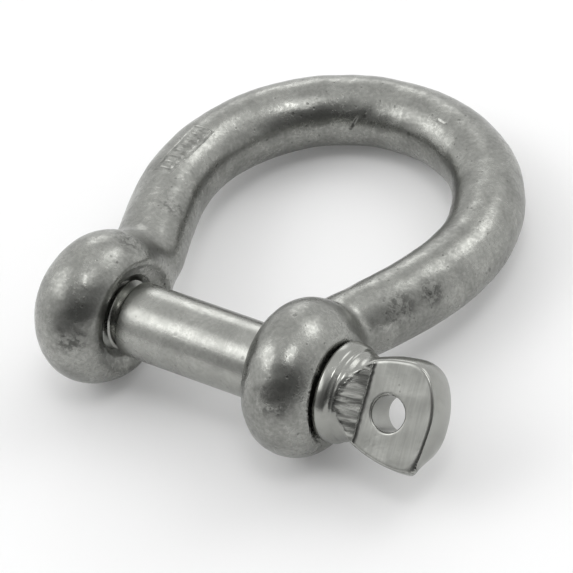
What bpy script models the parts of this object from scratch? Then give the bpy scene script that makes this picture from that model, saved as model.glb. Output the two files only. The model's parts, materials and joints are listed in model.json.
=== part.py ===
"""A bow shackle of 10 mm rod, closed by a screw pin, lying on a flat surface.

The shackle is drawn about its pin: the pin axis is X, the bow rises along +Y and the plane of
the bow is XY, with the middle of the jaw at the origin. An empty then carries that drawing to
where it lies at rest, on its two eyes and its crown, with +Z up and the surface at Z = 0.

The pin is one forging. It is drawn as two bodies, a shank that slides and a head that turns,
because the pin does both as it unscrews.
"""

import math

import bpy
from mathutils import Vector

MM = 0.001

# Driving dimensions, in metres.
ROD_DIAMETER = 10.0 * MM
EYE_SPACING = 32.7 * MM  # centre to centre, along the pin
EYE_DIAMETER = 21.5 * MM
EYE_THICKNESS = 13.3 * MM
EYE_CREST_RADIUS = 3.0 * MM  # where the rounded eye is thickest
BOW_RADIUS = 22.15 * MM  # of the rod's centreline, round the crown
BOW_LEAN = math.radians(24.2)  # of each leg, outward, where it leaves its eye
LEG_START = 12.15 * MM  # above the pin axis, where the lean is full
LEG_EASE = 19.7 * MM  # length over which a leg curves into the crown's arc
THREAD_DIAMETER = 10.0 * MM
SHANK_DIAMETER = 10.4 * MM
PLAIN_HOLE_DIAMETER = 11.0 * MM
TAPPED_HOLE_DIAMETER = 10.6 * MM  # clears the plain cylinder that stands for the thread
COLLAR_DIAMETER = 13.8 * MM
SEAT_DIAMETER = 13.2 * MM  # the collar's, inside its chamfer
TAB_THICKNESS = 5.2 * MM
TAB_HOLE_DIAMETER = 5.3 * MM
TAB_TURN = math.radians(51.0)  # from the bow's plane to the tab's, about the pin axis

# Places along the pin axis, from the middle of the jaw.
INNER_FACE_X = 11.2 * MM  # spot faces inside the jaw
OUTER_FACE_X = 21.7 * MM  # spot faces outside it
TIP_X = -22.6 * MM
SHOULDER_X = -10.7 * MM  # end of the shank, start of the thread
SEAT_X = 22.0 * MM  # the collar's seat
TAB_START_X = 27.2 * MM
TAB_HOLE_X = 30.9 * MM
TAB_END_X = 37.7 * MM

# Smaller sizes.
SPOT_FACE_RADIUS = 7.4 * MM
TIP_CHAMFER = 1.0 * MM
UNDERCUT_RADIUS = 4.4 * MM
UNDERCUT_LENGTH = 1.2 * MM
HEAD_GAP = 0.05 * MM  # between the two bodies of the pin
END_DOME_RADIUS = 10.0 * MM
END_DOME_REACH = 5.3 * MM
COLLAR_CHAMFER = 0.4 * MM
SCOOP_TOP = (24.6 * MM, 7.4 * MM)  # along the pin and out from it, where the cutter ran out

# The bulb, the neck and the front of the collar: millimetres along the pin, and radii.
HEAD_OUTLINE = (
    (35.7, 6.2),
    (35.1, 6.9),
    (34.2, 7.25),
    (32.6, 7.3),
    (30.8, 7.1),
    (28.9, 6.7),
    (27.2, 6.2),
    (25.8, 5.8),
    (25.1, 6.1),
    (24.6, 6.3),
    (24.2, 6.5),
    (23.5, 6.9),
)

# Facets.
ROD_SIDES_RESOLUTION = 6  # gives 16 sides
ROD_STEP = 3.2 * MM
SUBSTEPS = 16  # of the centreline's sum, in each ROD_STEP
FOOT_STEPS = 4
TURNED_STEPS = 36
HOLE_SIDES = 40
ARC_STEPS = 8
DOME_STEPS = 4
CUT_MARGIN = 5.0 * MM
SHARP_ANGLE = math.radians(35)

EYE_X = EYE_SPACING / 2
ROD_RADIUS = ROD_DIAMETER / 2
SHANK_RADIUS = SHANK_DIAMETER / 2


def clear_scene():
    for obj in list(bpy.data.objects):
        bpy.data.objects.remove(obj, do_unlink=True)


def new_collection(name):
    collection = bpy.data.collections.new(name)
    bpy.context.scene.collection.children.link(collection)
    return collection


def stainless(name, shade, roughness):
    material = bpy.data.materials.new(name)
    material.use_nodes = True
    shader = material.node_tree.nodes["Principled BSDF"]
    shader.inputs["Base Color"].default_value = (shade, shade, 0.97 * shade, 1.0)
    shader.inputs["Metallic"].default_value = 1.0
    shader.inputs["Roughness"].default_value = roughness
    return material


def leg_centreline():
    """Points from the pin axis up the +X leg to the crown.

    The leg leaves its eye straight, at its lean. Its curvature then grows evenly to that of
    the crown's arc, which it keeps until it is level.
    """
    step = ROD_STEP / SUBSTEPS
    foot = Vector((0.0, LEG_START, 0.0))
    points = [foot]
    heading = math.pi / 2 - BOW_LEAN  # measured from +X
    travelled = 0.0
    while heading < math.pi:
        curvature = min(travelled / LEG_EASE, 1.0) / BOW_RADIUS
        middle = heading + curvature * step / 2
        points.append(points[-1] + step * Vector((math.cos(middle), math.sin(middle), 0.0)))
        heading += curvature * step
        travelled += step
    crown_x = points[-1].x
    return [Vector((point.x - crown_x, point.y, 0.0)) for point in points]


def foot_of_leg(leg_x):
    """Points from inside the +X eye, where the rod is upright, round a bend to the leg's lean."""
    bend_radius = (leg_x - EYE_X) / (1 - math.cos(BOW_LEAN))
    points = [Vector((EYE_X, EYE_CREST_RADIUS, 0.0))]
    for i in range(FOOT_STEPS):
        angle = BOW_LEAN * i / FOOT_STEPS
        x = EYE_X + bend_radius * (1 - math.cos(angle))
        y = LEG_START - bend_radius * (math.sin(BOW_LEAN) - math.sin(angle))
        points.append(Vector((x, y, 0.0)))
    return points


def bow_centreline():
    fine = leg_centreline()
    right = foot_of_leg(fine[0].x) + fine[:-1:SUBSTEPS] + [fine[-1]]
    left = [Vector((-point.x, point.y, 0.0)) for point in right[:-1]]
    return right + left[::-1]


def crown_height():
    return leg_centreline()[-1].y


def lying_tilt():
    """The angle at which the bow leans down to rest on its crown as well as on its eyes."""
    return math.asin((EYE_DIAMETER / 2 - ROD_RADIUS) / crown_height())


def mesh_of(curve_object, collection):
    """Turns a curve object into a mesh object of the same name, with its caps welded."""
    graph = bpy.context.evaluated_depsgraph_get()
    mesh = bpy.data.meshes.new_from_object(curve_object.evaluated_get(graph))
    name = curve_object.name
    placed = curve_object.matrix_world.copy()
    bpy.data.objects.remove(curve_object, do_unlink=True)
    obj = bpy.data.objects.new(name, mesh)
    obj.matrix_world = placed
    collection.objects.link(obj)
    weld = obj.modifiers.new("weld_caps", "WELD")
    weld.merge_threshold = 0.01 * MM
    return obj


def round_bar(name, points, radius, collection):
    curve = bpy.data.curves.new(name, "CURVE")
    curve.dimensions = "3D"
    curve.bevel_depth = radius
    curve.bevel_resolution = ROD_SIDES_RESOLUTION
    curve.use_fill_caps = True
    spline = curve.splines.new("POLY")
    spline.points.add(len(points) - 1)
    for target, point in zip(spline.points, points, strict=True):
        target.co = (*point, 1.0)
    obj = bpy.data.objects.new(name, curve)
    collection.objects.link(obj)
    bpy.context.view_layer.update()
    return mesh_of(obj, collection)


def prism(name, outline, half_depth, collection):
    """A flat outline in the object's XY plane, given half_depth to each side."""
    curve = bpy.data.curves.new(name, "CURVE")
    curve.dimensions = "2D"
    curve.fill_mode = "BOTH"
    curve.extrude = half_depth
    spline = curve.splines.new("POLY")
    spline.points.add(len(outline) - 1)
    spline.use_cyclic_u = True
    for target, (x, y) in zip(spline.points, outline, strict=True):
        target.co = (x, y, 0.0, 1.0)
    obj = bpy.data.objects.new(name, curve)
    collection.objects.link(obj)
    bpy.context.view_layer.update()
    return mesh_of(obj, collection)


def turned(name, profile, collection):
    """A turned solid about X. The profile is (place along X, radius), from +X to -X."""
    mesh = bpy.data.meshes.new(name)
    vertices = [(radius, 0.0, along) for along, radius in profile]
    edges = [(i, i + 1) for i in range(len(profile) - 1)]
    mesh.from_pydata(vertices, edges, [])
    obj = bpy.data.objects.new(name, mesh)
    collection.objects.link(obj)
    screw = obj.modifiers.new("turn", "SCREW")
    screw.axis = "Z"
    screw.angle = math.tau
    screw.steps = TURNED_STEPS
    screw.render_steps = TURNED_STEPS
    screw.use_merge_vertices = True
    screw.merge_threshold = 0.01 * MM
    screw.use_smooth_shade = True
    obj.rotation_euler = (0.0, math.pi / 2, 0.0)
    return obj


def drill(name, radius, low, high, collection):
    """A cylinder about X from low to high, for cutting."""
    bpy.ops.mesh.primitive_cylinder_add(
        vertices=HOLE_SIDES,
        radius=radius,
        depth=high - low,
        location=((low + high) / 2, 0.0, 0.0),
        rotation=(0.0, math.pi / 2, 0.0),
    )
    obj = bpy.context.object
    obj.name = name
    for owner in list(obj.users_collection):
        owner.objects.unlink(obj)
    collection.objects.link(obj)
    return obj


def hide_helper(obj):
    obj.hide_render = True
    obj.display_type = "WIRE"


def combine(obj, other, operation):
    modifier = obj.modifiers.new(f"{operation.lower()}_{other.name}", "BOOLEAN")
    modifier.operation = operation
    modifier.solver = "EXACT"
    modifier.object = other
    hide_helper(other)


def eye_profile():
    """The rounded section of an eye: a half ellipse beyond the crest and a flat within it."""
    half_thickness = EYE_THICKNESS / 2
    depth = EYE_DIAMETER / 2 - EYE_CREST_RADIUS
    profile = [(half_thickness, 0.0)]
    for i in range(2 * ARC_STEPS + 1):
        angle = math.pi / 2 - math.pi * i / (2 * ARC_STEPS)
        radius = EYE_CREST_RADIUS + depth * math.cos(angle)
        profile.append((half_thickness * math.sin(angle), radius))
    profile.append((-half_thickness, 0.0))
    return profile


def make_bow(parts, cutters):
    bow = round_bar("bow", bow_centreline(), ROD_RADIUS, parts)
    for side, x in (("threaded", -EYE_X), ("plain", EYE_X)):
        eye = turned(f"{side}_eye", eye_profile(), cutters)
        eye.location.x = x
        combine(bow, eye, "UNION")
    jaw = drill("jaw_spot_faces", SPOT_FACE_RADIUS, -INNER_FACE_X, INNER_FACE_X, cutters)
    combine(bow, jaw, "DIFFERENCE")
    for side, sign, diameter in (
        ("threaded", -1, TAPPED_HOLE_DIAMETER),
        ("plain", 1, PLAIN_HOLE_DIAMETER),
    ):
        reach = OUTER_FACE_X + CUT_MARGIN
        ends = sorted((sign * OUTER_FACE_X, sign * reach))
        face = drill(f"{side}_spot_face", SPOT_FACE_RADIUS, *ends, cutters)
        combine(bow, face, "DIFFERENCE")
        ends = sorted((0.0, sign * reach))
        hole = drill(f"{side}_hole", diameter / 2, *ends, cutters)
        combine(bow, hole, "DIFFERENCE")
    return bow


def shank_profile():
    thread_radius = THREAD_DIAMETER / 2
    undercut_end = SHOULDER_X - UNDERCUT_LENGTH
    return [
        (SEAT_X, 0.0),
        (SEAT_X, SHANK_RADIUS),
        (SHOULDER_X, SHANK_RADIUS),
        (SHOULDER_X, UNDERCUT_RADIUS),
        (undercut_end, UNDERCUT_RADIUS),
        (undercut_end, thread_radius),
        (TIP_X + TIP_CHAMFER, thread_radius),
        (TIP_X, thread_radius - TIP_CHAMFER),
        (TIP_X, 0.0),
    ]


def head_profile():
    """The end dome, the bulb that the tab is milled from, the neck and the collar."""
    dome = []
    for i in range(DOME_STEPS + 1):
        radius = END_DOME_REACH * i / DOME_STEPS
        drop = END_DOME_RADIUS - math.sqrt(END_DOME_RADIUS**2 - radius**2)
        dome.append((TAB_END_X - drop, radius))
    outline = [(along * MM, radius * MM) for along, radius in HEAD_OUTLINE]
    seat_x = SEAT_X + HEAD_GAP
    collar = [
        (SEAT_X + COLLAR_CHAMFER, COLLAR_DIAMETER / 2),
        (seat_x, SEAT_DIAMETER / 2),
        (seat_x, 0.0),
    ]
    return dome + outline + collar


def make_pin(parts, cutters):
    shank = turned("pin_shank", shank_profile(), parts)
    head = turned("pin_head", head_profile(), parts)
    far = TAB_END_X + CUT_MARGIN
    out = COLLAR_DIAMETER
    face = TAB_THICKNESS / 2
    outline = [(TAB_START_X, face), (far, face), (far, out), (SCOOP_TOP[0], out), SCOOP_TOP]
    for side, spin in (("upper", 0.0), ("lower", math.pi)):
        # The outline's Y is turned to point out of the tab's face, and its depth runs along
        # the tab's width.
        cutter = prism(f"{side}_flat", outline, COLLAR_DIAMETER, cutters)
        cutter.rotation_euler = (math.pi / 2 + TAB_TURN + spin, 0.0, 0.0)
        combine(head, cutter, "DIFFERENCE")
    hole = drill("tab_hole", TAB_HOLE_DIAMETER / 2, -out, out, cutters)
    hole.location = (TAB_HOLE_X, 0.0, 0.0)
    hole.rotation_euler = (TAB_TURN, 0.0, 0.0)
    combine(head, hole, "DIFFERENCE")
    return shank, head


def finish(obj, material):
    """Applies the modifiers, so that the edges can be marked sharp, and gives the material."""
    graph = bpy.context.evaluated_depsgraph_get()
    mesh = bpy.data.meshes.new_from_object(obj.evaluated_get(graph))
    obj.modifiers.clear()
    obj.data = mesh
    mesh.shade_smooth()
    mesh.set_sharp_from_angle(angle=SHARP_ANGLE)
    mesh.materials.clear()
    mesh.materials.append(material)


def lay_down(parts, cutters):
    """Hangs everything on an empty that lays the shackle on the surface, centred on it."""
    rest = bpy.data.objects.new("lying_frame", None)
    bpy.context.scene.collection.objects.link(rest)
    rest.rotation_euler = (-lying_tilt(), 0.0, 0.0)
    for obj in [*parts.objects, *cutters.objects]:
        obj.parent = rest
    bpy.context.view_layer.update()
    points = [obj.matrix_world @ vertex.co for obj in parts.objects for vertex in obj.data.vertices]
    low = Vector(min(point[i] for point in points) for i in range(3))
    high = Vector(max(point[i] for point in points) for i in range(3))
    rest.location = (-(low.x + high.x) / 2, -(low.y + high.y) / 2, -low.z)


def main():
    clear_scene()
    parts = new_collection("bow_shackle")
    cutters = new_collection("cutters")
    bow = make_bow(parts, cutters)
    shank, head = make_pin(parts, cutters)
    bpy.context.view_layer.update()
    finish(bow, stainless("tumbled_stainless", shade=0.30, roughness=0.36))
    finish(shank, stainless("turned_stainless", shade=0.36, roughness=0.30))
    finish(head, stainless("milled_stainless", shade=0.42, roughness=0.28))
    lay_down(parts, cutters)


main()
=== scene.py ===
"""The looks of the bow shackle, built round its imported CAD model.

Both pieces are steel, and each is one continuous surface here: the forged bow, with its eyes
flowing into the rod and a real thread tapped in one of them, and the screw pin, from its threaded
tip to its milled tab. Shapes are worked out in the shackle's own drawing frame (pin axis along X,
bow along +Y, middle of the jaw at the origin) and then laid down where the CAD model lies.
"""

import json
import math

import bmesh
import bpy
import numpy as np
from mathutils import Matrix, Vector


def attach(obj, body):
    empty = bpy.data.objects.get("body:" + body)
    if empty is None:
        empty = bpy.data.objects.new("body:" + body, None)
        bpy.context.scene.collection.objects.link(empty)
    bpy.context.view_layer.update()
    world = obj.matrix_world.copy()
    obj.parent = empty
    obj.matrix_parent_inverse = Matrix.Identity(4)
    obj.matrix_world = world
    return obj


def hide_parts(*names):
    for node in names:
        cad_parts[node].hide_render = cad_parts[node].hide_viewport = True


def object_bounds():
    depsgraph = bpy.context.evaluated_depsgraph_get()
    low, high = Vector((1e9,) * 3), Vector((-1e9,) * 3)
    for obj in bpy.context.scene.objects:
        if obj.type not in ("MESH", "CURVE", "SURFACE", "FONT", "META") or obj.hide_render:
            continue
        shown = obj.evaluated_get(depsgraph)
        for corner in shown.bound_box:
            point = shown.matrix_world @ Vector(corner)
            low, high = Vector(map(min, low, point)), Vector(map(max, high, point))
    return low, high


MM = 0.001

# The CAD model's driving dimensions.
ROD_RADIUS = 5.0 * MM
EYE_X = 16.35 * MM
EYE_RADIUS = 10.75 * MM
EYE_HALF_THICKNESS = 6.65 * MM
EYE_CREST_RADIUS = 3.0 * MM
EYE_SPLAY = math.radians(6.2)  # each eye leans out this much towards its end, beyond the pin
FOOT_SET_OVER = 0.65 * MM  # the forging's legs stand a little to -X where they leave the eyes
FOOT_Y = 8.0 * MM
FOOT_REACH = 4.0 * MM
BOW_RADIUS = 22.15 * MM
BOW_LEAN = math.radians(24.2)
LEG_START = 12.15 * MM
LEG_EASE = 19.7 * MM
INNER_FACE_X = 11.2 * MM
OUTER_FACE_X = 21.7 * MM
SPOT_FACE_RADIUS = 7.4 * MM
THREADED_FILLET = 2.8 * MM  # where the threaded eye runs into its leg
PLAIN_FILLET = 1.1 * MM  # where the plain one does, in its middle
PLAIN_FILLET_CHANGE = 0.5 * MM  # more than that on its outer side, and less on its inner one
FILLET_CHANGE_REACH = 3.0 * MM
JAW_CORNER = 0.6 * MM  # roundings of the spot faces inside the jaw: at the foot and at the brim
JAW_BRIM = 1.2 * MM
OUTSIDE_EDGE = 0.5 * MM
SHANK_RADIUS = 5.2 * MM
PLAIN_HOLE_RADIUS = 5.5 * MM
BORE_EDGE = 0.4 * MM
TIP_X = -22.6 * MM
SHOULDER_X = -10.7 * MM
SEAT_X = 22.0 * MM
TAB_TURN = math.radians(51.0)
TAB_HALF_THICKNESS = 2.6 * MM
TAB_HOLE_X = 31.0 * MM
TAB_HOLE_WIDTH = -0.35 * MM  # the hole is a little off the pin's axis
TAB_HOLE_RADIUS = 2.45 * MM
TAB_END_X = 37.7 * MM
UPPER_END_CURVE = 9.0 * MM  # the tab's end bulges: how tightly on each side of the pin's axis
LOWER_END_CURVE = 34.0 * MM
ACROSS_END_CURVE = 10.0 * MM  # and from one flat to the other
BACK_CORNER_REACH = 10.0 * MM
SCOOP_ANGLE = math.radians(56.0)  # of the cutter's run-out wall, from the pin's axis
SCOOP_CORNER_X = 27.3 * MM
RIDGE_HEIGHT = 0.03 * MM  # on the run-out walls
RIDGE_SPACING = 1.0 * MM

# The head's turned outline: places along the pin from the middle of the jaw, and radii.
HEAD_OUTLINE = np.array(
    [
        (21.0, 6.82),
        (23.4, 6.82),
        (23.75, 6.72),
        (24.0, 6.50),
        (24.2, 6.27),
        (24.45, 6.18),
        (24.75, 6.18),
        (25.0, 6.08),
        (25.35, 5.90),
        (25.9, 5.84),
        (27.2, 6.25),
        (28.9, 6.80),
        (30.8, 7.20),
        (32.6, 7.42),
        (34.2, 7.48),
        (35.6, 7.36),
        (37.0, 7.10),
        (39.0, 6.60),
    ]
) * MM

# The thread, M10 x 1.5, right-handed.
PITCH = 1.5 * MM
THREAD_CREST = 4.93 * MM
THREAD_ROOT = 4.12 * MM
THREAD_PLAY = 0.13 * MM  # the tapped hole's, on the radius
THREAD_STEPS = 72
COUNTERSINK_RADIUS = 5.85 * MM
THREADED_RING_X = 11.4 * MM  # the threaded eye's spot face, dished from its rim in to the hole
THREADED_MOUTH_X = 12.1 * MM

# The pressed mark on top of the -X leg: a plain panel with plain bars left standing in it.
MARK_PLACE = (-21.9 * MM, 28.3 * MM)
MARK_HALF_SIZE = (1.5 * MM, 5.3 * MM)
MARK_DEPTH = 0.16 * MM
MARK_BARS = 7

# Small dents in the bow: from, to, and how wide and deep.
DENTS = (
    ((-5.4, 47.6, 2.6), (-6.3, 46.8, 0.6), 0.22, 0.16),
    ((6.9, 49.5, 4.6), (8.1, 49.1, 4.6), 0.30, 0.14),
    ((-13.2, 1.5, 9.0), (-12.6, 3.0, 8.2), 0.30, 0.12),
    ((17.9, 9.6, 5.9), (19.2, 12.2, 4.9), 0.25, 0.08),
)

# Darker, rougher patches on the bow: middle and reach.
DARK_PATCHES = (
    ((22.4, 14.6, 3.1), 3.4),
    ((24.3, 19.6, 2.8), 2.6),
    ((-14.3, -9.9, 2.4), 3.2),
    ((18.2, -9.2, 4.4), 3.6),
    ((-13.9, 4.9, 8.6), 3.0),
    ((-16.4, 18.0, 4.2), 2.4),
    ((25.5, 33.0, -3.0), 4.0),
    ((-25.0, 36.0, -1.0), 3.5),
    ((-19.0, -6.0, -7.5), 3.5),
    ((4.0, 54.0, -4.0), 4.0),
)

# The forging's and the tumbling's unevenness: height and wavelength.
BROAD_WAVES = (0.035 * MM, 9.0 * MM)
FINE_WAVES = (0.012 * MM, 2.6 * MM)
HEAD_WAVES = (0.012 * MM, 4.0 * MM)

# How finely the surfaces are made.
CENTRELINE_STEP = 0.5 * MM
BOW_VOXEL = 0.28 * MM
DETAIL_CUTS = 3  # of each edge, near the mark and the dents
HEAD_VOXEL = 0.14 * MM
TURNED_STEPS = 144
BATCH = 4000  # points compared with the centreline at a time
SLIVER = 0.001  # in millimetres: shorter edges than this are closed up
NEAR_FLAT = 0.12 * MM  # how near a milled surface its finish reaches
WALL_START = 0.25 * MM  # height above the flat at which the run-out wall's finish starts

# The camera.
CAMERA_AZIMUTH = 42.539
CAMERA_ELEVATION = 44.557
CAMERA_ROLL = -13.872
CAMERA_DISTANCE = 531.2 * MM
CAMERA_LENS = 248.0
CAMERA_AIM = (-0.61 * MM, -9.53 * MM, 10.0 * MM)

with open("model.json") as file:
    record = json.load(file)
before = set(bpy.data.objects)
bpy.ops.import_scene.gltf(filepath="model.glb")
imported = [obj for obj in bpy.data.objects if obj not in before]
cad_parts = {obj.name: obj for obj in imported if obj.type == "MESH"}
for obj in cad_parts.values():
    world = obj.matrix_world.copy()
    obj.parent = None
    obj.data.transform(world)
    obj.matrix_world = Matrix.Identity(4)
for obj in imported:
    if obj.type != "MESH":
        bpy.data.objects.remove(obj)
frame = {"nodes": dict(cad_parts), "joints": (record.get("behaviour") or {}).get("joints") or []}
cad_low, cad_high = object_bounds()


# The drawing frame.


def leg_centreline():
    """Points up the +X leg, from its start above the eye to the middle of the crown."""
    points = [np.array([0.0, LEG_START])]
    heading = math.pi / 2 - BOW_LEAN
    travelled = 0.0
    while heading < math.pi:
        curvature = min(travelled / LEG_EASE, 1.0) / BOW_RADIUS
        middle = heading + curvature * CENTRELINE_STEP / 2
        step = CENTRELINE_STEP * np.array([math.cos(middle), math.sin(middle)])
        points.append(points[-1] + step)
        heading += curvature * CENTRELINE_STEP
        travelled += CENTRELINE_STEP
    return np.array(points) - (points[-1][0], 0.0)


def foot_of_leg(leg_x):
    """Points from inside the +X eye round the bend to the leg's lean."""
    bend_radius = (leg_x - EYE_X) / (1 - math.cos(BOW_LEAN))
    angles = np.linspace(0, BOW_LEAN, 16, endpoint=False)
    x = EYE_X + bend_radius * (1 - np.cos(angles))
    y = LEG_START - bend_radius * (math.sin(BOW_LEAN) - np.sin(angles))
    return np.vstack([[(EYE_X, EYE_CREST_RADIUS)], np.column_stack([x, y])])


def half_centreline():
    """The +X half of the bow's centreline. The other half mirrors it."""
    leg = leg_centreline()
    return np.vstack([foot_of_leg(leg[0, 0]), leg])


CENTRELINE = half_centreline()
CROWN_Y = CENTRELINE[-1, 1]
LYING_TILT = math.asin((EYE_RADIUS - ROD_RADIUS) / CROWN_Y)
PIN_TURN = next(joint for joint in frame["joints"] if joint["name"] == "pin_turn")
LYING = Matrix.Translation(PIN_TURN["pos_m"]) @ Matrix.Rotation(-LYING_TILT, 4, "X")


# Distances to surfaces. Each takes an array of points, and is negative inside the metal.


def smooth_min(a, b, reach):
    """The lesser of two distances, rounded off over reach where they are about equal."""
    shared = np.clip(reach - np.abs(a - b), 0, None) / reach
    return np.minimum(a, b) - shared**2 * reach / 4


def smooth_max(a, b, reach):
    """The greater of two distances, rounded off in the same way."""
    return -smooth_min(-a, -b, reach)


def from_centreline(points):
    """Distance in the bow's plane from its centreline."""
    starts = CENTRELINE[:-1]
    runs = CENTRELINE[1:] - starts
    lengths = (runs**2).sum(1)
    nearest = np.empty(len(points))
    for first in range(0, len(points), BATCH):
        batch = slice(first, first + BATCH)
        x = np.abs(points[batch, 0, None]) - starts[:, 0]
        y = points[batch, 1, None] - starts[:, 1]
        along = ((x * runs[:, 0] + y * runs[:, 1]) / lengths).clip(0, 1)
        gap = (x - along * runs[:, 0]) ** 2 + (y - along * runs[:, 1]) ** 2
        nearest[batch] = np.sqrt(gap.min(1))
    return nearest


def eye_distance(points):
    """Both rounded eyes, each a half ellipse swept round an axis near the pin's."""
    out = np.abs(points[:, 0]) - EYE_X
    splay_cos, splay_sin = math.cos(EYE_SPLAY), math.sin(EYE_SPLAY)
    up = points[:, 1] * splay_cos - out * splay_sin
    u = np.clip(np.hypot(up, points[:, 2]) - EYE_CREST_RADIUS, 0, None)
    v = out * splay_cos + points[:, 1] * splay_sin
    a, b = EYE_RADIUS - EYE_CREST_RADIUS, EYE_HALF_THICKNESS
    ratio = np.hypot(u / a, v / b)
    return ratio * (ratio - 1) / np.maximum(np.hypot(u / a**2, v / b**2), 1.0)


def waves(points, wavelength, seed, count=24):
    """Smooth irregularity of about unit size: plane waves in seeded random directions."""
    draw = np.random.default_rng(seed)
    directions = draw.normal(size=(count, points.shape[1]))
    directions /= np.linalg.norm(directions, axis=1)[:, None]
    lengths = wavelength * draw.uniform(0.7, 1.6, count)
    phases = draw.uniform(0, math.tau, count)
    turns = points @ (directions * (math.tau / lengths)[:, None]).T + phases
    return np.sin(turns).sum(1) * math.sqrt(2 / count)


def unevenness(points, size, seed):
    height, wavelength = size
    return height * waves(points, wavelength, seed)


def bow_distance(points):
    """The plain forging, with its spot faces: a rod and two eyes that flow into each other."""
    set_over = FOOT_SET_OVER * np.exp(-(((points[:, 1] - FOOT_Y) / FOOT_REACH) ** 2))
    moved = points + np.column_stack([set_over, 0 * set_over, 0 * set_over])
    rod = np.hypot(from_centreline(moved), points[:, 2]) - ROD_RADIUS
    out = np.hypot(points[:, 1], points[:, 2])
    along = np.abs(points[:, 0])
    outward = np.clip((along - EYE_X) / FILLET_CHANGE_REACH, -1, 1)
    plain_fillet = PLAIN_FILLET + PLAIN_FILLET_CHANGE * outward
    fillet = np.where(points[:, 0] < 0, THREADED_FILLET, plain_fillet)
    body = smooth_min(rod, eye_distance(points), fillet)
    dish = (SPOT_FACE_RADIUS - out) / (SPOT_FACE_RADIUS - COUNTERSINK_RADIUS)
    dished = THREADED_RING_X + dish.clip(0, 1.2) * (THREADED_MOUTH_X - THREADED_RING_X)
    face = np.where(points[:, 0] < 0, dished, INNER_FACE_X)
    jaw = smooth_max(out - SPOT_FACE_RADIUS, along - face, JAW_CORNER)
    body = smooth_max(body, -jaw, JAW_BRIM)
    outside = smooth_min(along - OUTER_FACE_X, SPOT_FACE_RADIUS - out, OUTSIDE_EDGE)
    body = smooth_max(body, outside, OUTSIDE_EDGE)
    broad = unevenness(points, BROAD_WAVES, seed=3)
    return body - (broad + unevenness(points, FINE_WAVES, seed=4))


def inside_rectangle(across, along, half_width, half_length, edge):
    """1 well inside a rectangle, 0 outside it, and a smooth slope over its edge."""
    gap = np.maximum(np.abs(across) - half_width, np.abs(along) - half_length)
    level = np.clip(0.5 - gap / edge, 0, 1)
    return level**2 * (3 - 2 * level)


def from_mark(points):
    """Distances across and along from the middle of the mark, seen from above the leg."""
    return points[:, 0] - MARK_PLACE[0], points[:, 1] - MARK_PLACE[1]


def mark_depth(points):
    """How deep the mark is pressed."""
    across, along = from_mark(points)
    width, length = MARK_HALF_SIZE
    panel = inside_rectangle(across, along, width, length, 0.3 * MM)
    pitch = 2 * length / (MARK_BARS + 1)
    from_bar = (along / pitch + MARK_BARS / 2) % 1 - 0.5
    bars = inside_rectangle(across, from_bar * pitch, 0.62 * width, 0.24 * pitch, 0.25 * MM)
    within = np.abs(along) < length - pitch / 2
    return MARK_DEPTH * panel * (1 - 0.8 * bars * within) * (points[:, 2] > 0)


def dent_depth(points):
    """How deep the small dents are: each is a groove between two points."""
    depth = np.zeros(len(points))
    for start, end, width, deep in DENTS:
        start, run = MM * np.array(start), MM * np.subtract(end, start)
        along = ((points - start) @ run / (run @ run)).clip(0, 1)
        gap = np.linalg.norm(points - start - along[:, None] * run, axis=1)
        depth = np.maximum(depth, deep * MM * (1 - gap / (width * MM)).clip(0, 1))
    return depth


def marked_bow_distance(points):
    return bow_distance(points) + mark_depth(points) + dent_depth(points)


def head_distance(points):
    """The pin's head: collar, groove, neck and milled tab, with x along the pin."""
    x = points[:, 0]
    normal, width = across_tab(points)
    out = np.hypot(points[:, 1], points[:, 2])
    turned = head_radius_gap(x, out)
    body = smooth_max(turned, end_distance(x, normal, width), end_rounding(width))
    body = smooth_max(body, SEAT_X - x, 0.5 * MM)
    flats = np.maximum(flat_distance(x, normal, width), flat_distance(x, -normal, width))
    body = smooth_max(body, flats, 0.4 * MM)
    hole = TAB_HOLE_RADIUS - np.hypot(x - TAB_HOLE_X, width - TAB_HOLE_WIDTH)
    body = smooth_max(body, hole, 0.3 * MM)
    return body - unevenness(points, HEAD_WAVES, seed=21)


def across_tab(points):
    """Distances from the pin's axis square to the tab's flats, and along them."""
    normal = -math.sin(TAB_TURN) * points[:, 1] + math.cos(TAB_TURN) * points[:, 2]
    width = math.cos(TAB_TURN) * points[:, 1] + math.sin(TAB_TURN) * points[:, 2]
    return normal, width


def end_distance(x, normal, width):
    """Distance outside the tab's end, which bulges more towards its well rounded upper corner
    than towards the lower one, and falls away behind the lower corner."""
    back = np.clip((2.0 * MM - normal) / (4 * MM), 0, 1)
    lower = (1 - back) / LOWER_END_CURVE - back * 2 * width / BACK_CORNER_REACH**2
    curve = np.where(width < 0, lower, 1 / UPPER_END_CURVE)
    fall = width**2 * curve / 2 + normal**2 / (2 * ACROSS_END_CURVE)
    steepness = np.sqrt(1 + (width * curve) ** 2 + (normal / ACROSS_END_CURVE) ** 2)
    return (x - TAB_END_X + fall) / steepness


def end_rounding(width):
    """How far the edge round the tab's end is rounded off: little at its lower corner."""
    return MM * (0.5 + 1.4 * np.clip(width / (5 * MM), 0, 1))


def head_radius_gap(x, out):
    """How far a point is outside the head's turned outline, roughly."""
    places, radii = HEAD_OUTLINE.T
    slopes = np.gradient(radii, places)
    radius, slope = hermite(x, places, radii, slopes)
    return (out - radius) / np.sqrt(1 + slope**2)


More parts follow.
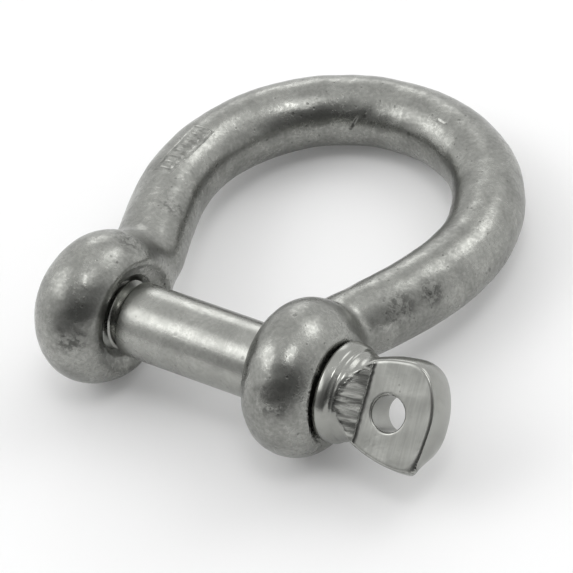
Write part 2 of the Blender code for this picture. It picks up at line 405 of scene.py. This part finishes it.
def hermite(x, places, values, slopes):
    """A smooth curve through the places, with its slope."""
    i = np.clip(np.searchsorted(places, x) - 1, 0, len(places) - 2)
    run = places[i + 1] - places[i]
    t = np.clip((x - places[i]) / run, 0, 1)
    t2, t3 = t * t, t * t * t
    start, end = values[i], values[i + 1]
    leave, arrive = slopes[i] * run, slopes[i + 1] * run
    value = (2 * t3 - 3 * t2 + 1) * start + (t3 - 2 * t2 + t) * leave
    value += (3 * t2 - 2 * t3) * end + (t3 - t2) * arrive
    slope = 6 * (t2 - t) * (start - end)
    slope += (3 * t2 - 4 * t + 1) * leave + (3 * t2 - 2 * t) * arrive
    return value, slope / run


def flat_distance(x, height, width):
    """Distance above one milled flat, whose cutter ran out up a steep wall near the neck and
    left uneven ridges on it."""
    rise = height - TAB_HALF_THICKNESS
    along_wall = np.column_stack([width, 0.15 * rise])
    ridges = RIDGE_HEIGHT * waves(along_wall, RIDGE_SPACING, seed=31)
    wall = math.sin(SCOOP_ANGLE) * (x - SCOOP_CORNER_X) + math.cos(SCOOP_ANGLE) * rise
    return smooth_min(rise, wall + ridges, 0.3 * MM)


# Meshes.


def new_object(name, data):
    obj = bpy.data.objects.new(name, data)
    bpy.context.scene.collection.objects.link(obj)
    return obj


def mesh_object(name, vertices, faces):
    mesh = bpy.data.meshes.new(name)
    mesh.from_pydata(vertices, [], faces)
    mesh.update()
    turn_outward(mesh)
    return new_object(name, mesh)


def turn_outward(mesh):
    work = bmesh.new()
    work.from_mesh(mesh)
    bmesh.ops.recalc_face_normals(work, faces=work.faces)
    work.to_mesh(mesh)
    work.free()


def applied(obj):
    """Replaces the object's mesh by what its modifiers make of it."""
    graph = bpy.context.evaluated_depsgraph_get()
    mesh = bpy.data.meshes.new_from_object(obj.evaluated_get(graph))
    obj.modifiers.clear()
    obj.data = mesh
    return obj


def remeshed(obj, voxel):
    remesh = obj.modifiers.new("remesh", "REMESH")
    remesh.mode = "VOXEL"
    remesh.voxel_size = voxel
    remesh.use_smooth_shade = True
    return applied(obj)


def coordinates(mesh):
    points = np.empty(len(mesh.vertices) * 3, np.float32)
    mesh.vertices.foreach_get("co", points)
    return points.reshape(-1, 3).astype(np.float64)


def gradient(distance, points, step=0.01 * MM):
    """The slope of the distance, from its values at a small tetrahedron's corners."""
    corners = np.array([(1, -1, -1), (-1, -1, 1), (-1, 1, -1), (1, 1, 1)])
    slopes = (corner * distance(points + step * corner)[:, None] for corner in corners)
    return sum(slopes) / (4 * step)


def settle(obj, distance, rounds=3):
    """Evens the mesh out and moves its vertices onto the surface where the distance is zero."""
    mesh = obj.data
    points = coordinates(mesh)
    edges = np.empty(len(mesh.edges) * 2, np.int32)
    mesh.edges.foreach_get("vertices", edges)
    ends = edges.reshape(-1, 2)
    starts = np.concatenate([ends[:, 0], ends[:, 1]])
    others = np.concatenate([ends[:, 1], ends[:, 0]])
    degree = np.bincount(starts, minlength=len(points))[:, None]
    for turn in range(rounds):
        if turn:
            total = np.column_stack(
                [np.bincount(starts, points[others, i], len(points)) for i in range(3)]
            )
            points = 0.5 * points + 0.5 * total / degree
        for _ in range(2):
            slope = gradient(distance, points)
            steepness = (slope**2).sum(1)[:, None] + 1e-6
            points = points - distance(points)[:, None] * slope / steepness
    mesh.vertices.foreach_set("co", points.astype(np.float32).ravel())
    mesh.update()
    return obj


def refine(obj, wanted, cuts):
    """Cuts up the edges of the faces whose middles are wanted."""
    work = bmesh.new()
    work.from_mesh(obj.data)
    middles = np.array([face.calc_center_median() for face in work.faces])
    chosen = wanted(middles)
    edges = {e for face, keep in zip(work.faces, chosen, strict=True) if keep for e in face.edges}
    edges = sorted(edges, key=lambda edge: edge.index)
    bmesh.ops.subdivide_edges(work, edges=edges, cuts=cuts, use_grid_fill=True)
    bmesh.ops.triangulate(work, faces=[face for face in work.faces if len(face.verts) > 4])
    work.to_mesh(obj.data)
    work.free()


def store(obj, name, kind, values):
    """Keeps values for each vertex, for the materials to read."""
    attribute = obj.data.attributes.new(name, kind, "POINT")
    field = "vector" if kind == "FLOAT_VECTOR" else "value"
    attribute.data.foreach_set(field, np.asarray(values, np.float32).ravel())


def turned(name, profile, steps=TURNED_STEPS):
    """A closed turned solid about X. The profile is (place, radius) from -X to +X."""
    angles = math.tau * (np.arange(steps) + 0.5) / steps
    ring = np.column_stack([np.cos(angles), np.sin(angles)])
    vertices = [(x, *(radius * point)) for x, radius in profile for point in ring]
    faces = []
    for row in range(len(profile) - 1):
        for i in range(steps):
            j = (i + 1) % steps
            low, high = row * steps, (row + 1) * steps
            faces.append((low + i, high + i, high + j, low + j))
    faces.append(tuple(range(steps)))
    faces.append(tuple(range(len(vertices) - 1, len(vertices) - 1 - steps, -1)))
    return mesh_object(name, vertices, faces)


def threaded_rod(name, root, crest, low, high):
    """A closed rod about X with a right-handed thread, a turn longer than low to high."""
    depth = crest - root
    flank = depth * math.tan(math.radians(30))
    crest_flat = PITCH / 8
    root_flat = PITCH - crest_flat - 2 * flank
    profile = [
        (0.0, root),
        (root_flat, root),
        (root_flat + flank, crest),
        (root_flat + flank + crest_flat, crest),
    ]
    turns = math.ceil((high - low) / PITCH) + 1
    first = PITCH * (math.floor(low / PITCH) - 1)  # whole pitches keep every thread in step
    steps = turns * THREAD_STEPS
    vertices, faces = [], []
    for k in range(steps + 1):
        angle = math.tau * k / THREAD_STEPS
        shift = first + PITCH * k / THREAD_STEPS
        c, s = math.cos(angle), math.sin(angle)
        vertices += [(shift + x, radius * c, radius * s) for x, radius in profile]
    width = len(profile)
    for k in range(steps):
        for j in range(width - 1):
            a, b = k * width + j, (k + 1) * width + j
            faces.append((a, a + 1, b + 1, b))
        if k + THREAD_STEPS < steps:
            # The last point of one turn's profile meets the first point of the next turn's.
            a, b = k * width + width - 1, (k + 1) * width + width - 1
            c, d = (k + THREAD_STEPS) * width, (k + THREAD_STEPS + 1) * width
            faces.append((a, c, d, b))
    obj = mesh_object(name, vertices, faces)
    cap_ends(obj)
    return obj


def cap_ends(obj):
    """Closes each open end with a fan to a new point on the axis, and turns the faces outward."""
    mesh = bmesh.new()
    mesh.from_mesh(obj.data)
    open_edges = [edge for edge in mesh.edges if edge.is_boundary]
    middle = sum(v.co.x for v in mesh.verts) / len(mesh.verts)
    for side in (-1, 1):
        rim = [e for e in open_edges if (e.verts[0].co.x - middle) * side > 0]
        x = sum(e.verts[0].co.x for e in rim) / len(rim)
        hub = mesh.verts.new((x, 0, 0))
        for edge in rim:
            mesh.faces.new((*edge.verts, hub))
    bmesh.ops.recalc_face_normals(mesh, faces=mesh.faces)
    mesh.to_mesh(obj.data)
    mesh.free()


def combine(obj, other, operation):
    """Cuts, joins or intersects with another solid, which is used up. The solver merges points a
    few microns apart, so it works on both solids a thousand times larger."""
    for mesh in (obj.data, other.data):
        mesh.transform(Matrix.Scale(1 / MM, 4))
    boolean = obj.modifiers.new(other.name, "BOOLEAN")
    boolean.operation = operation
    boolean.solver = "EXACT"
    boolean.object = other
    applied(obj)
    drop_slivers(obj.data)
    obj.data.transform(Matrix.Scale(MM, 4))
    bpy.data.objects.remove(other, do_unlink=True)


def drop_slivers(mesh):
    """Removes faces without area, in a mesh that is in millimetres."""
    work = bmesh.new()
    work.from_mesh(mesh)
    bmesh.ops.dissolve_degenerate(work, dist=SLIVER, edges=work.edges)
    bmesh.ops.triangulate(work, faces=[face for face in work.faces if len(face.verts) > 4])
    work.to_mesh(mesh)
    work.free()


def rounded(corner, before, after, radius, steps=6):
    """Points of an arc that rounds a profile's corner, which may turn either way."""
    corner, before, after = (np.array(p) for p in (corner, before, after))
    to_before = (before - corner) / np.linalg.norm(before - corner)
    to_after = (after - corner) / np.linalg.norm(after - corner)
    half = math.acos(float(to_before @ to_after)) / 2
    reach = radius / math.tan(half)
    bisector = (to_before + to_after) / np.linalg.norm(to_before + to_after)
    centre = corner + bisector * radius / math.sin(half)
    start, end = corner + to_before * reach - centre, corner + to_after * reach - centre
    turn = math.atan2(start[0] * end[1] - start[1] * end[0], start @ end)
    points = []
    for i in range(steps + 1):
        angle = turn * i / steps
        c, s = math.cos(angle), math.sin(angle)
        points.append(tuple(centre + (c * start[0] - s * start[1], s * start[0] + c * start[1])))
    return points


def rounded_profile(corners):
    """A profile from (x, radius, rounding) corners. The first and last stay as they are."""
    places = [corner[:2] for corner in corners]
    profile = [places[0]]
    for i in range(1, len(corners) - 1):
        if corners[i][2]:
            profile += rounded(places[i], places[i - 1], places[i + 1], corners[i][2])
        else:
            profile.append(places[i])
    return [*profile, places[-1]]


def shaded(obj, angle=35):
    obj.data.shade_smooth()
    obj.data.set_sharp_from_angle(angle=math.radians(angle))


def lay_down(obj):
    obj.data.transform(LYING)
    obj.data.update()


# The bow.


def rough_bow():
    """A bar along the centreline and two plain eyes, all overlapping."""
    curve = bpy.data.curves.new("rough_bow", "CURVE")
    curve.dimensions = "3D"
    curve.bevel_depth = ROD_RADIUS
    curve.bevel_resolution = 4
    curve.use_fill_caps = True
    spline = curve.splines.new("POLY")
    route = np.vstack([CENTRELINE[::3], CENTRELINE[::-3] * (-1, 1)])
    spline.points.add(len(route) - 1)
    for target, (x, y) in zip(spline.points, route, strict=True):
        target.co = (x, y, 0, 1)
    bar = new_object("rough_bow", curve)
    graph = bpy.context.evaluated_depsgraph_get()
    mesh = bmesh.new()
    bar_mesh = bpy.data.meshes.new_from_object(bar.evaluated_get(graph))
    mesh.from_mesh(bar_mesh)
    bmesh.ops.remove_doubles(mesh, verts=mesh.verts, dist=0.01 * MM)  # closes the curve's caps
    for x in (-EYE_X, EYE_X):
        made = bmesh.ops.create_uvsphere(mesh, u_segments=48, v_segments=24, radius=1.0)
        bmesh.ops.scale(
            mesh, verts=made["verts"], vec=(EYE_HALF_THICKNESS, EYE_RADIUS, EYE_RADIUS)
        )
        bmesh.ops.translate(mesh, verts=made["verts"], vec=(x, 0, 0))
    bpy.data.objects.remove(bar, do_unlink=True)
    joined = bpy.data.meshes.new("bow_forging")
    mesh.to_mesh(joined)
    mesh.free()
    return new_object("bow_forging", joined)


def bore_mouth(face_x, radius, edge, side):
    """Profile points where a bore opens through a face, from the bore outward, with its edge
    rounded off. side is +1 where the bore opens towards +X."""
    points = []
    for angle in np.radians((0, 15, 30, 45, 60)):
        x = face_x - side * edge * (1 - math.sin(angle))
        points.append((x, radius + edge * (1 - math.cos(angle))))
    x, out = points[-1]
    points.append((x + side * 1.0 * MM * math.cos(angle), out + 1.0 * MM * math.sin(angle)))
    points.append((x + side * 4.0 * MM, points[-1][1]))
    return points


def near_detail(points):
    """Whether each point is in or near the mark or a dent, where the mesh has to be finer."""
    across, along = from_mark(points)
    width, length = np.add(MARK_HALF_SIZE, 0.4 * MM)
    near_mark = (np.abs(across) < width) & (np.abs(along) < length) & (points[:, 2] > 0)
    return near_mark | (dent_depth(points) > 0)


def plain_hole():
    inner = bore_mouth(INNER_FACE_X, PLAIN_HOLE_RADIUS, BORE_EDGE, -1)
    outer = bore_mouth(OUTER_FACE_X, PLAIN_HOLE_RADIUS, BORE_EDGE, 1)
    return turned("plain_hole", inner[::-1] + outer)


def tapped_hole():
    """A bore countersunk at both ends, with the tap's thread standing out of it."""
    minor, major = THREAD_ROOT + THREAD_PLAY, THREAD_CREST + THREAD_PLAY
    dish = COUNTERSINK_RADIUS - minor
    tapped = turned(
        "tapped_hole",
        [
            (-OUTER_FACE_X - 3 * MM, COUNTERSINK_RADIUS),
            (-OUTER_FACE_X, COUNTERSINK_RADIUS),
            (-OUTER_FACE_X + dish, minor + 0.02 * MM),
            (-THREADED_MOUTH_X - dish, minor + 0.02 * MM),
            (-THREADED_MOUTH_X, COUNTERSINK_RADIUS),
            (-INNER_FACE_X + 3 * MM, COUNTERSINK_RADIUS),
        ],
    )
    tap = threaded_rod("tap", minor, major, -OUTER_FACE_X, -INNER_FACE_X)
    combine(tapped, tap, "UNION")
    return tapped


def make_bow():
    bow = settle(remeshed(rough_bow(), BOW_VOXEL), bow_distance)
    refine(bow, near_detail, DETAIL_CUTS)
    settle(bow, marked_bow_distance, rounds=1)
    combine(bow, plain_hole(), "DIFFERENCE")
    combine(bow, tapped_hole(), "DIFFERENCE")
    shaded(bow)
    points = coordinates(bow.data)
    store(bow, "drawn", "FLOAT_VECTOR", points / MM)
    # painted shade in the pressed mark and the dents, and the darker patches
    store(bow, "recess_shade_and_patches", "FLOAT", recess_shade_and_patches(points))
    return bow


def recess_shade_and_patches(points):
    """How much darker and rougher the bow is at each point, from 0 to 1: painted shade, with some
    stain, in the pressed mark, painted shade in the dents, the deeper the darker, and the darker
    patches.
    """
    level = mark_depth(points) / MARK_DEPTH * 0.6 + dent_depth(points) / (0.1 * MM)
    for middle, reach in DARK_PATCHES:
        gap = np.linalg.norm(points - MM * np.array(middle), axis=1) / (reach * MM)
        level = np.maximum(level, (1 - gap**2).clip(0, 1))
    return level.clip(0, 1)


# The pin.


def rough_head():
    """The CAD model's head, taken back to the drawing frame."""
    rough = frame["nodes"]["pin_head"].data.copy()
    rough.transform(LYING.inverted())
    return new_object("screw_pin", rough)


def plain_shank():
    return turned(
        "shank",
        rounded_profile(
            [
                (SHOULDER_X - 2.5 * MM, 0.98 * THREAD_ROOT, 0),
                (SHOULDER_X, 0.98 * THREAD_ROOT, 0),
                (SHOULDER_X, SHANK_RADIUS, 0.4 * MM),
                (SEAT_X + 2 * MM, SHANK_RADIUS, 0),
            ]
        ),
    )


def pin_thread():
    """The thread, cut off at a chamfer at the tip and another beside the shoulder."""
    start = SHOULDER_X - 0.5 * MM
    envelope = turned(
        "envelope",
        [
            (TIP_X, 0.78 * THREAD_ROOT),
            (TIP_X + 1.4 * MM, THREAD_CREST + 0.1 * MM),
            (start - 0.9 * MM, THREAD_CREST + 0.1 * MM),
            (start, 0.96 * THREAD_ROOT),
        ],
    )
    thread = threaded_rod("thread", THREAD_ROOT, THREAD_CREST, TIP_X, SHOULDER_X)
    combine(thread, envelope, "INTERSECT")
    return thread


def make_pin():
    pin = settle(remeshed(rough_head(), HEAD_VOXEL), head_distance)
    shank = plain_shank()
    combine(shank, pin_thread(), "UNION")
    combine(pin, shank, "UNION")
    shaded(pin)
    points = coordinates(pin.data)
    normal, width = across_tab(points)
    store(pin, "drawn", "FLOAT_VECTOR", np.column_stack([points[:, 0], width, normal]) / MM)
    store(pin, "head", "FLOAT", points[:, 0] > SEAT_X - 0.1 * MM)
    store(pin, "flat", "FLOAT", flatness(points[:, 0], np.abs(normal)))
    store(pin, "scoop", "FLOAT", scooped(points[:, 0], np.abs(normal), width))
    return pin


def flatness(x, height):
    """1 on the tab's two flats."""
    gap = np.abs(height - TAB_HALF_THICKNESS)
    return np.clip(1 - gap / NEAR_FLAT, 0, 1) * (x > SCOOP_CORNER_X)


def scooped(x, height, width):
    """1 on the cutter's run-out walls."""
    gap = np.abs(flat_distance(x, height, width))
    rise = height - TAB_HALF_THICKNESS
    return ((gap < NEAR_FLAT) & (rise > WALL_START)).astype(float)


# Materials. Every pattern is in millimetres of the drawing frame, which is stored on the vertices.

STEEL = (0.278, 0.281, 0.264)


def add(tree, kind, inputs, **settings):
    """Adds a shader node. Each input is a value or another node's output."""
    made = tree.nodes.new("ShaderNode" + kind)
    for name, value in settings.items():
        setattr(made, name, value)
    for name, value in inputs.items():
        if isinstance(value, bpy.types.NodeSocket):
            tree.links.new(value, made.inputs[name])
        else:
            made.inputs[name].default_value = value
    return made


def stored(tree, name, output="Fac"):
    """What store() kept for each vertex."""
    return add(tree, "Attribute", {}, attribute_name=name).outputs[output]


def calc(tree, operation, first, second=0.0):
    return add(tree, "Math", {0: first, 1: second}, operation=operation).outputs[0]


def ramp(tree, value, low, high, at_low, at_high):
    """Carries low to at_low and high to at_high, smoothly between and level beyond."""
    inputs = {"Value": value, "From Min": low, "From Max": high}
    inputs.update({"To Min": at_low, "To Max": at_high})
    return add(tree, "MapRange", inputs, interpolation_type="SMOOTHSTEP").outputs["Result"]


def stretched(tree, place, scale, turn=(0, 0, 0)):
    """Places for a pattern that is drawn out by the scale along turned axes."""
    inputs = {"Vector": place, "Scale": scale, "Rotation": turn}
    return add(tree, "Mapping", inputs, vector_type="TEXTURE").outputs["Vector"]


def noise(tree, place, per_mm, detail=2.0, roughness=0.5, distortion=0.0):
    inputs = {
        "Vector": place,
        "Scale": per_mm,
        "Detail": detail,
        "Roughness": roughness,
        "Distortion": distortion,
    }
    return add(tree, "TexNoise", inputs).outputs["Fac"]


def pits(tree, place, per_mm, share, size):
    """1 in small round pits, in a share of the cells of a grid of scattered points."""
    cells = add(tree, "TexVoronoi", {"Vector": place, "Scale": per_mm})
    dots = ramp(tree, cells.outputs["Distance"], size * 0.5, size, 1.0, 0.0)
    chosen = calc(tree, "LESS_THAN", cells.outputs["Color"], share)
    return calc(tree, "MULTIPLY", dots, chosen)


def scratches(tree, place, turn, per_mm, fineness):
    """Thin lines, 1 at their middles, in patches along one direction."""
    lines = noise(tree, stretched(tree, place, (9.0, 1.0, 1.0), turn), per_mm, 1.0)
    off_middle = calc(tree, "ABSOLUTE", calc(tree, "SUBTRACT", lines, 0.5))
    thin = ramp(tree, off_middle, 0.0, fineness, 1.0, 0.0)
    patches = ramp(tree, noise(tree, place, 0.3), 0.5, 0.62, 0.0, 1.0)
    return calc(tree, "MULTIPLY", thin, patches)


def product(tree, *factors):
    result = factors[0]
    for factor in factors[1:]:
        result = calc(tree, "MULTIPLY", result, factor)
    return result


def total(tree, *terms):
    result = terms[0]
    for term in terms[1:]:
        result = calc(tree, "ADD", result, term)
    return result


def tinted(tree, tint, factor):
    return add(tree, "VectorMath", {0: tint, "Scale": factor}, operation="SCALE").outputs["Vector"]


def bumped(tree, height):
    """A surface raised by the height, which is in micrometres."""
    metres = calc(tree, "MULTIPLY", height, 1e-6)
    inputs = {"Height": metres, "Strength": 1.0, "Distance": 1.0}
    return add(tree, "Bump", inputs).outputs["Normal"]


def new_material(name):
    material = bpy.data.materials.new(name)
    material.use_nodes = True
    shader = material.node_tree.nodes["Principled BSDF"]
    shader.inputs["Metallic"].default_value = 1.0
    return material, material.node_tree, shader


def wear(tree, place):
    """The patterns that tumbling leaves: broad mottling, fine grain, pits and stray scratches."""
    mottle = noise(tree, place, 0.22, 3.0, 0.6, 0.4)
    grain = noise(tree, place, 1.9, 3.0, 0.65)
    small = pits(tree, place, 1.1, 0.26, 0.24)
    large = pits(tree, place, 0.42, 0.30, 0.16)
    dots = calc(tree, "MAXIMUM", small, large)
    lines = calc(
        tree,
        "MAXIMUM",
        scratches(tree, place, (0.3, 0.5, 0.9), 1.6, 0.012),
        scratches(tree, place, (0.9, 0.2, 2.3), 1.3, 0.012),
    )
    return mottle, grain, dots, lines


def forged_steel():
    """The bow: tumbled all over, mottled, with rougher darker patches, and painted shade in the
    pressed mark and the dents.
    """
    material, tree, shader = new_material("forged_steel")
    place = stored(tree, "drawn", "Vector")
    mottle, grain, dots, lines = wear(tree, place)
    speckle = ramp(tree, noise(tree, place, 0.9, 3.0, 0.7, 0.3), 0.4, 0.62, 0.0, 1.0)
    recess_shade_and_patches = calc(tree, "MULTIPLY", stored(tree, "recess_shade_and_patches"), speckle)
    factor = product(
        tree,
        ramp(tree, mottle, 0.3, 0.7, 0.84, 1.14),
        ramp(tree, grain, 0.3, 0.7, 0.86, 1.13),
        ramp(tree, dots, 0.0, 1.0, 1.0, 0.66),
        # darker: painted shade in the pressed mark and the dents, and the patches
        ramp(tree, recess_shade_and_patches, 0.0, 1.0, 1.0, 0.5),
        ramp(tree, lines, 0.0, 1.0, 1.0, 0.86),
    )
    tree.links.new(tinted(tree, STEEL, factor), shader.inputs["Base Color"])
    roughness = total(
        tree,
        ramp(tree, mottle, 0.3, 0.7, 0.33, 0.25),
        ramp(tree, grain, 0.3, 0.7, 0.05, -0.03),
        calc(tree, "MULTIPLY", recess_shade_and_patches, 0.2),
    )
    tree.links.new(roughness, shader.inputs["Roughness"])
    height = total(
        tree,
        calc(tree, "MULTIPLY", grain, 26.0),
        calc(tree, "MULTIPLY", mottle, 60.0),
        calc(tree, "MULTIPLY", dots, -22.0),
        calc(tree, "MULTIPLY", lines, -5.0),
        calc(tree, "MULTIPLY", recess_shade_and_patches, -14.0),
    )
    tree.links.new(bumped(tree, height), shader.inputs["Normal"])
    return material


def pin_steel():
    """The pin: a tumbled, turned shank, and a head milled flat, with painted light that makes the
    head brighter than the shank and its flats brighter still.
    """
    material, tree, shader = new_material("pin_steel")
    place = stored(tree, "drawn", "Vector")
    head, flat, scoop = (stored(tree, name) for name in ("head", "flat", "scoop"))
    mottle, grain, dots, lines = wear(tree, place)
    turning = noise(tree, stretched(tree, place, (1.0, 30.0, 30.0)), 3.2, 2.0)
    milling = noise(tree, stretched(tree, place, (1.0, 14.0, 14.0)), 3.6, 2.0, 0.5, 0.15)
    cutting = noise(tree, stretched(tree, place, (6.0, 1.0, 9.0)), 1.5, 2.0, 0.6)
    shank = calc(tree, "SUBTRACT", 1.0, head)
    factor = product(
        tree,
        ramp(tree, mottle, 0.3, 0.7, 0.9, 1.1),
        ramp(tree, calc(tree, "MULTIPLY", grain, total(tree, shank, 0.35)), 0.3, 0.7, 0.93, 1.1),
        ramp(tree, dots, 0.0, 1.0, 1.0, 0.78),
        ramp(tree, product(tree, flat, milling), 0.3, 0.7, 1.0, 1.15),
        ramp(tree, scoop, 0.0, 1.0, 1.0, 0.5),
        ramp(tree, product(tree, scoop, cutting), 0.42, 0.6, 0.8, 2.0),
        # painted light: the head a little brighter than the shank
        ramp(tree, head, 0.0, 1.0, 1.42, 1.54),
        # painted light: the milled flats brighter still
        ramp(tree, flat, 0.0, 1.0, 1.0, 1.16),
    )
    tree.links.new(tinted(tree, STEEL, factor), shader.inputs["Base Color"])
    roughness = total(
        tree,
        ramp(tree, mottle, 0.3, 0.7, 0.32, 0.25),
        calc(tree, "MULTIPLY", head, -0.08),
        calc(tree, "MULTIPLY", flat, 0.12),
    )
    tree.links.new(roughness, shader.inputs["Roughness"])
    height = total(
        tree,
        product(tree, grain, total(tree, product(tree, shank, 16.0), 5.0)),
        product(tree, mottle, 40.0),
        product(tree, dots, -7.0),
        product(tree, lines, -4.0),
        product(tree, turning, shank, 5.0),
        product(tree, milling, flat, 6.0),
        product(tree, cutting, scoop, 45.0),
    )
    tree.links.new(bumped(tree, height), shader.inputs["Normal"])
    return material


# The studio.

SOFT_BOXES = (
    (-69, 42, 14, 1.75),
    (-43, 44, 12, 1.15),
    (157, 43, 14, 1.85),
    (68, 75, 9, 4.2),
    (-82, 20, 8, 0.8),
    (-146, 18, 10, 1.5),
)
SKY_BRIGHTNESS = 1.0
DARK_SIDE = (28, 13)  # the unlit part of the room, behind the camera
DARK_REACH = (20, 84)
DARK_BRIGHTNESS = 0.1
FLOOR_REACH = 3.0
FLOOR_SHADE = 0.84
FLOOR_GLOW = 0.1  # the floor is a lit table


def add_camera():
    """At the photographer's place: a long lens, looking along the pin and down on the bow."""
    camera = new_object("camera", bpy.data.cameras.new("camera"))
    camera.data.lens = CAMERA_LENS
    camera.data.sensor_width = 36.0
    camera.data.clip_start = 0.01
    camera.data.clip_end = 10.0
    back = Vector(direction(CAMERA_AZIMUTH, CAMERA_ELEVATION))
    facing = (-back).to_track_quat("-Z", "Y").to_matrix().to_4x4()
    roll = Matrix.Rotation(math.radians(CAMERA_ROLL), 4, "Z")
    place = Matrix.Translation(Vector(CAMERA_AIM) + CAMERA_DISTANCE * back)
    camera.matrix_world = place @ facing @ roll
    bpy.context.scene.camera = camera


def add_floor():
    r = FLOOR_REACH
    corners = [(-r, -r, 0), (r, -r, 0), (r, r, 0), (-r, r, 0)]
    floor = mesh_object("floor", corners, [(0, 1, 2, 3)])
    floor.location.z = cad_low.z
    material = bpy.data.materials.new("pale_floor")
    material.use_nodes = True
    shader = material.node_tree.nodes["Principled BSDF"]
    shader.inputs["Base Color"].default_value = (FLOOR_SHADE, FLOOR_SHADE, FLOOR_SHADE, 1)
    shader.inputs["Roughness"].default_value = 0.9
    shader.inputs["Emission Color"].default_value = (1, 1, 1, 1)
    shader.inputs["Emission Strength"].default_value = FLOOR_GLOW
    floor.data.materials.append(material)


def direction(azimuth, elevation):
    azimuth, elevation = math.radians(azimuth), math.radians(elevation)
    level = math.cos(elevation)
    return (math.sin(azimuth) * level, -math.cos(azimuth) * level, math.sin(elevation))


def add_sky():
    """A pale room with soft boxes round it, dim behind the camera."""
    world = bpy.data.worlds.new("studio")
    world.use_nodes = True
    tree = world.node_tree
    ray = add(tree, "TexCoord", {}).outputs["Generated"]

    def closeness(azimuth, elevation, inner, outer, at_inner, at_outer):
        inputs = {0: ray, 1: direction(azimuth, elevation)}
        cosine = add(tree, "VectorMath", inputs, operation="DOT_PRODUCT").outputs["Value"]
        near, far = math.cos(math.radians(inner)), math.cos(math.radians(outer))
        return ramp(tree, cosine, far, near, at_outer, at_inner)

    light = closeness(*DARK_SIDE, *DARK_REACH, DARK_BRIGHTNESS, SKY_BRIGHTNESS)
    for azimuth, elevation, half_width, brightness in SOFT_BOXES:
        box = closeness(azimuth, elevation, 0.6 * half_width, 1.4 * half_width, brightness, 0.0)
        light = calc(tree, "ADD", light, box)
    tree.links.new(light, tree.nodes["Background"].inputs["Color"])
    bpy.context.scene.world = world


def add_studio():
    add_floor()
    add_sky()
    bpy.context.scene.view_settings.view_transform = "Standard"


def main():
    for piece, finish, body, nodes, slot in (
        (make_bow(), forged_steel(), "bow", ("bow",), "bow_steel"),
        (make_pin(), pin_steel(), "pin_head", ("pin_shank", "pin_head"), "tab_steel"),
    ):
        lay_down(piece)
        piece.data.materials.clear()
        piece.data.materials.append(finish)
        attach(piece, body)
        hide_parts(*nodes)
    add_studio()
    add_camera()


main()
